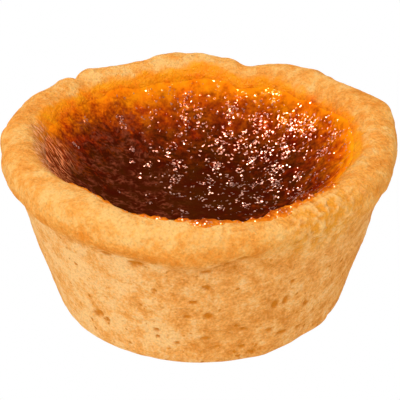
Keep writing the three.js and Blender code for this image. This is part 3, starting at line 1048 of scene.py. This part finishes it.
# Where the crumb's bump is low, the bake is higher: painted shade in the hollows of the grain.
bake = bake + (0.42 - crumb_and_shade) * 0.45 + (grains - 0.45) * (0.22 + on_wall * 0.22)
rim_colour = colour_ramp(bake, [
    (0.1, (0.90, 0.49, 0.145)),
    (0.5, (0.87, 0.355, 0.062)),
    (0.9, (0.78, 0.24, 0.022)),
])
wall_colour = colour_ramp(bake, [
    (0.1, (0.96, 0.54, 0.20)),
    (0.5, (0.89, 0.385, 0.090)),
    (0.9, (0.73, 0.255, 0.037)),
])
crust_colour = mixed(on_wall, rim_colour, wall_colour)
fine_pits = math_step("MAXIMUM", small_pits(tree, 1.3, 0.15, 0.30) * 0.8, small_pits(tree, 3.3, 0.35, 0.17))
fine_pits = fine_pits * (0.35 + on_wall * 0.65)
crust_colour = mixed(math_step("MAXIMUM", stored(tree, "pit"), fine_pits) * 0.9, crust_colour, PIT_AMBER)
crust_colour = mixed(in_patch * (1.0 - on_crumb) * 0.85, crust_colour, BETWEEN_CRUMBS)
crust_colour = mixed(in_patch * on_crumb * 0.8, crust_colour, CRUMB_TOP)
# The sand mottle is also in the bump: its high points are painted lighter and its low ones darker, as painted
# light and shade.
crust_colour = wire(tree, "ShaderNodeHueSaturation", "Color", Color=crust_colour, Value=0.84 + sand_and_shade * 0.32)

soaked = stored(tree, "soak")
strands, gaps = fibred(tree)
crust_colour = mixed(soaked, crust_colour, caramel_colour(tree))
crust_colour = mixed(gaps * 0.6, crust_colour, GAP_ON_CRUST)
# The fibres are painted bright: their own pale colour and a painted sheen.
crust_colour = mixed(strands * 0.85, crust_colour, FIBRE_AND_SHEEN_ON_CRUST)
crumb_height = crumb_and_shade + sand_and_shade * 0.5 - fine_pits * 0.25 + strands
dress(
    crust,
    crust_material,
    Base_Color=crust_colour,
    Roughness=0.75 - soaked * 0.4,
    Specular_IOR_Level=0.02,
    Subsurface_Weight=0.1,
    Subsurface_Radius=(1.0, 0.45, 0.15),
    Subsurface_Scale=1.0 * MM,
    Normal=wire(tree, "ShaderNodeBump", "Normal", Strength=1.0, Distance=0.3 * MM, Height=crumb_height),
)

# %% [markdown]
# ## Set caramel
# The caramel is amber where it is thin at the edge and nearly black-brown where it is deep. The skin
# at the left is dull, with paler wrinkles and bright fibres, both painted partly in their own colour and
# partly as painted sheen. A smooth gloss would lay a grey veil over so dark a body, so the body mirrors
# nothing. The light is caught by chips of froth instead: small pale spots that are partly metallic, so
# they mirror the lamps in their own colour, and that lean every way. Their pale pink is partly the
# froth's own and partly a painted highlight, whitest towards the front.

# %% Material: filling
RIDGE_SKIN_AND_SHEEN = (0.24, 0.052, 0.022)
GAP_ON_CARAMEL = (0.22, 0.030, 0.003)
FIBRE_AND_SHEEN_ON_CARAMEL = (1.0, 0.31, 0.11)
PAINTED_GLINT_PINK = (1.0, 0.70, 0.58)
filling_material, tree = new_material("set_caramel")
on_skin, in_froth = stored(tree, "skin"), stored(tree, "froth")
strands, gaps = fibred(tree)
body_colour = caramel_colour(tree, 0.20 + on_skin * 0.22)
# The wrinkles' ridges are painted paler: dried skin and a painted sheen.
body_colour = mixed(stored(tree, "ridges") * mottled(tree, 0.7, 3.0, 2.6), body_colour, RIDGE_SKIN_AND_SHEEN)
body_colour = mixed(gaps * 0.5, body_colour, GAP_ON_CARAMEL)
# The fibres are painted bright: their own colour and a painted sheen.
body_colour = mixed(strands * 0.85, body_colour, FIBRE_AND_SHEEN_ON_CARAMEL)
froth_chips = math_step("MINIMUM", 1.0, small_pits(tree, 0.58, stored(tree, "chips"), 0.52) * 1.5)
# The chips' salmon colour is partly the froth's own paleness and partly a painted highlight.
chip_and_glint_colour = colour_ramp(stored(tree, "tone"), [
    (0.15, (1.0, 0.54, 0.18)),
    (0.35, (1.0, 0.50, 0.28)),
    (0.60, (1.0, 0.50, 0.38)),
])
# Towards the front the chips are painted near white: a painted highlight.
chip_and_glint_colour = mixed(stored(tree, "pale") * 0.5, chip_and_glint_colour, PAINTED_GLINT_PINK)
chip_share = froth_chips * (0.15 + mottled(tree, 1.0, 2.0, 2.5) * 0.65)
dull = on_skin * 0.12 + stored(tree, "thin") * 0.3 + in_froth * 0.35
tilt = 0.10 + in_froth * (0.1 + froth_chips * 0.5)
facets = placed(tree, facet_group, Size_mm=0.42, Tilt=tilt)
bubble_height = mottled(tree, 0.55, 1.0) + froth_chips * 0.5 + strands * 3.0
bump = wire(
    tree, "ShaderNodeBump", "Normal", Strength=1.0, Distance=0.05 * MM, Height=bubble_height, Normal=facets
)
dress(
    filling,
    filling_material,
    Base_Color=mixed(chip_share, body_colour, chip_and_glint_colour),
    Metallic=froth_chips * 0.5,
    Roughness=0.15 + dull * (1.0 - froth_chips),
    Specular_IOR_Level=0.0,
    Normal=bump,
)

# %% [markdown]
# ## The boiled-over caramel
# Where it is thin it is as amber as honey, where it mounds up it is redder. Froth breaks its surface
# here too, so it has chips and facets of its own, which glint as those of the filling do. The chips'
# pale colour is partly the froth's own and partly a painted highlight.

# %% Material: boiled-over caramel
spill_material, tree = new_material("spilled_caramel")
spill_tone = stored(tree, "thickness") + (mottled(tree, 0.8, 3.0, 2.0) - 0.5) * 0.4
spill_colour = colour_ramp(spill_tone, [
    (0.0, (0.82, 0.23, 0.010)),
    (0.25, (0.62, 0.125, 0.006)),
    (0.55, (0.40, 0.060, 0.004)),
])
# Pale pink of the chips: the froth's own paleness and a painted highlight.
CHIP_AND_GLINT_ON_SPILL = (1.0, 0.60, 0.38)
spill_chips = small_pits(tree, 0.5, 0.3, 0.45)
dress(
    spill,
    spill_material,
    Base_Color=mixed(spill_chips * 0.7, spill_colour, CHIP_AND_GLINT_ON_SPILL),
    Metallic=spill_chips * 0.5,
    Roughness=0.2,
    Specular_IOR_Level=0.0,
    Subsurface_Weight=0.15,
    Subsurface_Radius=(1.0, 0.35, 0.1),
    Subsurface_Scale=0.6 * MM,
    Normal=placed(tree, facet_group, Size_mm=0.45, Tilt=0.6),
)

# %% [markdown]
# ## The floor
# The floor is plain white, as far as can be seen. It gives its own light, so that no shadow greys it,
# and it isn't mirrored in the caramel.

# %% Floor
FLOOR_HALF = 1.5  # metres
floor_points = np.array([[-1, -1, 0], [1, -1, 0], [1, 1, 0], [-1, 1, 0]]) * FLOOR_HALF / MM
floor = make_piece("floor", floor_points, [[0, 1, 2, 3]])
floor_material, _ = new_material("white_floor")
dress(
    floor,
    floor_material,
    Base_Color=(0, 0, 0),
    Specular_IOR_Level=0.0,
    Emission_Color=(1, 1, 1),
    Emission_Strength=1.0,
)
floor.visible_glossy = False

# %% [markdown]
# ## The lights
# A soft box that lights the tart evenly would also be mirrored, as a wide pale patch on the dark
# caramel. So the two jobs are kept apart: five boxes only light the surfaces, and four small warm ones
# are only mirrored, as the glints on the froth.

# %% Lights
LIGHT_DISTANCE = 0.9  # metres
WARM = (1, 0.80, 0.70)
WHITE = (1, 1, 1)
# Each box: name, azimuth and elevation in degrees, side in metres, watts.
mirrored_boxes = [
    ("glints", 126, 54, 0.25, 15.0),
    ("glints_side", 158, 38, 0.30, 15.0),
    ("glints_above", 250, 80, 0.25, 11.0),
    ("glints_right", 62, 55, 0.20, 5.0),
]
lighting_boxes = [
    ("key", 115, 52, 0.3, 2.0),
    ("front", 285, 60, 0.9, 2.45),
    ("front_left", 240, 40, 0.9, 3.9),
    ("left", 195, 20, 0.8, 1.5),
    ("right", 345, 40, 0.9, 1.4),
]


def direction(azimuth, elevation):
    """Unit vector towards an azimuth (degrees counter-clockwise from +X) and elevation."""
    a, e = np.radians(azimuth), np.radians(elevation)
    return Vector((np.cos(a) * np.cos(e), np.sin(a) * np.cos(e), np.sin(e)))


def aim(thing, azimuth, elevation, distance, middle=Vector((0, 0, 0))):
    """Puts a lamp or camera this far from the middle, in that direction, and turns it to look back."""
    away = direction(azimuth, elevation)
    thing.location = middle + away * distance
    thing.rotation_euler = away.to_track_quat("Z", "Y").to_euler()
    bpy.context.scene.collection.objects.link(thing)


def soft_box(name, azimuth, elevation, size, watts, colour, mirrored):
    """A square area light that faces the tart. It is either only mirrored in surfaces or only lights them."""
    light = bpy.data.lights.new(name, "AREA")
    light.shape = "SQUARE"
    light.size = size
    light.energy = watts
    light.color = colour
    lamp = bpy.data.objects.new(name, light)
    lamp.visible_glossy = mirrored
    lamp.visible_diffuse = not mirrored
    aim(lamp, azimuth, elevation, LIGHT_DISTANCE)


for box in mirrored_boxes:
    soft_box(*box, colour=WARM, mirrored=True)
for box in lighting_boxes:
    soft_box(*box, colour=WHITE, mirrored=False)
world = bpy.data.worlds.new("studio")
bpy.context.scene.world = world
world.use_nodes = True
set_inputs(world.node_tree.nodes["Background"], Color=WHITE, Strength=0.4)
world.cycles_visibility.glossy = False
bpy.context.scene.view_settings.view_transform = "Standard"
print(len(mirrored_boxes), "boxes are mirrored,", len(lighting_boxes), "light the surfaces")

# %% [markdown]
# ## The camera
# The tart is seen from the front and from about 30 degrees above the table, as on a counter. The lens
# is long, so that the round rim isn't stretched, and a small shift centres the tart in the frame.

# %% Camera
CAMERA_ELEVATION = 29.6  # degrees
CAMERA_DISTANCE = 0.35  # metres from the middle of the tart
FIELD_OF_VIEW = 12.66  # degrees
SHIFT = (0.002, 0.036)  # shares of the frame, to the right and up
MIDDLE_HEIGHT = 0.5 * rim["height"] - 0.4  # mm above the table
camera_data = bpy.data.cameras.new("camera")
camera_data.angle = np.radians(FIELD_OF_VIEW)
camera_data.shift_x, camera_data.shift_y = SHIFT
camera = bpy.data.objects.new("camera", camera_data)
aim(camera, 270, CAMERA_ELEVATION, CAMERA_DISTANCE, Vector((0, 0, MIDDLE_HEIGHT * MM)))
bpy.context.scene.camera = camera
print("the camera looks down", CAMERA_ELEVATION, "degrees from", CAMERA_DISTANCE, "m")

# %% [markdown]
# ## Each piece rides on the tart's one body, and the crust and the filling stand in for their solids, which are hidden.
# Each piece rides on the tart's one body, stands for its solid and names its finish.

# %% Finish
for piece, node, finish in ((crust, "pastry_shell", "crust"), (filling, "filling", "filling")):
    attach(piece, "root")
    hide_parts(node)
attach(spill, "root")

bpy.context.view_layer.update()
